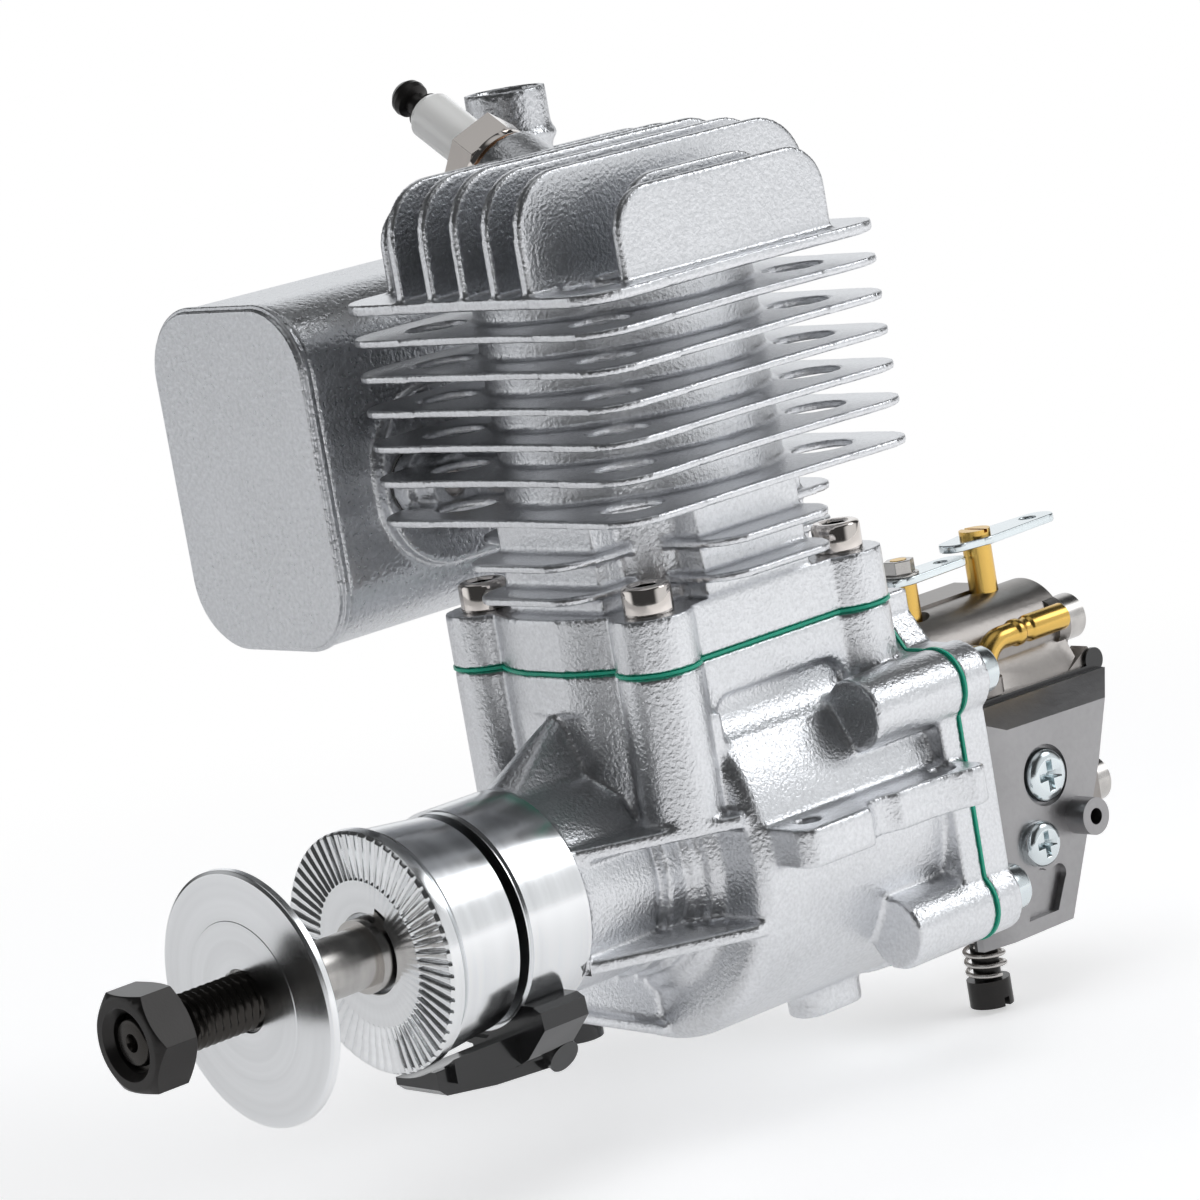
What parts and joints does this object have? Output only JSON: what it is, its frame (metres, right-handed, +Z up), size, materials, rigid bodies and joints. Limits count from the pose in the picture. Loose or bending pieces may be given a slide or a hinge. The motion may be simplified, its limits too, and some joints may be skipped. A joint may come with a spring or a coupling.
{
  "type": "model aircraft engine",
  "caption": "Single-cylinder two-stroke petrol engine with finned cylinder, side muffler, rear carburettor and a threaded propeller shaft.",
  "frame": {"origin": "where the crankshaft axis crosses the cylinder axis", "axes": "+Z up the cylinder, -Y along the crankshaft out of the propeller nut, +X to the side away from the muffler"},
  "size_m": [0.1272, 0.2226, 0.1815],
  "materials": {
    "cast_aluminium": "bead-blasted casting",
    "turned_aluminium": "turned, bright",
    "ground_steel": "ground or zinc plated",
    "plated_screw": "dark nickel plate",
    "black_oxide": "black oxide",
    "green_gasket": "green gasket paper",
    "zinc_casting": "die-cast, dark grey",
    "black_plastic": "moulded",
    "brass": "bright",
    "white_ceramic": "glazed ceramic",
    "brown_phenolic": "phenolic board",
    "grey_fibre": "fibre gasket",
    "ring_iron": "ground"
  },
  "bodies": {
    "engine": {"crankcase": "cast_aluminium", "shaft_seal": "black_plastic", "front_bearing_outer": "ground_steel", "front_bearing_balls": "ground_steel", "rear_bearing_outer": "ground_steel", "rear_bearing_balls": "ground_steel", "base_gasket": "green_gasket", "cylinder": "cast_aluminium", "cylinder_screws": "plated_screw", "spark_plug_shell": "plated_screw", "plug_insulator": "white_ceramic", "plug_terminal": "black_oxide", "plug_washer": "brass", "rear_gasket": "green_gasket", "rear_cover": "cast_aluminium", "rear_cover_screws": "ground_steel", "reed_block": "zinc_casting", "reed_petals": "ground_steel", "carb_insulator": "brown_phenolic", "carb_body": "zinc_casting", "side_gasket": "black_plastic", "side_cover": "zinc_casting", "side_cover_screws": "ground_steel", "metering_gasket": "black_plastic", "metering_cover": "zinc_casting", "metering_cover_screws": "ground_steel", "fuel_elbow": "brass", "carb_screws": "ground_steel", "idle_spring": "plated_screw", "throttle_spring": "plated_screw", "exhaust_gasket": "grey_fibre", "muffler_body": "cast_aluminium", "muffler_cap": "cast_aluminium", "muffler_screws": "plated_screw", "ignition_sensor": "black_plastic"},
    "crank": {"crankshaft": "ground_steel", "front_bearing_inner": "ground_steel", "rear_bearing_inner": "ground_steel", "hub_key": "ground_steel", "prop_driver": "turned_aluminium", "driver_magnet": "ground_steel", "prop_stud": "black_oxide", "thrust_washer": "turned_aluminium", "prop_nut": "black_oxide"},
    "piston_group": {"crankpin": "ground_steel", "connecting_rod": "turned_aluminium", "rod_bearings": "brass", "wrist_pin": "ground_steel", "circlips": "ground_steel", "piston": "turned_aluminium", "piston_ring": "ring_iron"},
    "throttle": {"throttle_shaft": "brass", "throttle_plate": "brass", "throttle_lever": "ground_steel", "throttle_nut": "ground_steel"},
    "choke": {"choke_shaft": "brass", "choke_plate": "brass", "choke_lever": "ground_steel", "choke_screw": "brass"},
    "idle": {"idle_screw": "black_oxide"}
  },
  "joints": [
    {"name": "crank_spin", "type": "hinge", "parent": "engine", "child": "crank", "pos_m": [0, 0, 0], "axis": [0, -1, 0], "continuous": true},
    {"name": "piston_stroke", "type": "slide", "parent": "engine", "child": "piston_group", "axis": [0, 0, -1], "range_m": [0, 0.028]},
    {"name": "throttle_turn", "type": "hinge", "parent": "engine", "child": "throttle", "pos_m": [0, 0.0562, 0], "axis": [0, 0, 1], "range_deg": [0, 75]},
    {"name": "choke_turn", "type": "hinge", "parent": "engine", "child": "choke", "pos_m": [0, 0.0764, 0], "axis": [0, 0, 1], "range_deg": [0, 75]},
    {"name": "idle_turn", "type": "hinge", "parent": "engine", "child": "idle", "pos_m": [0.009, 0.053, -0.035], "axis": [0, 0, 1], "continuous": true}
  ]
}
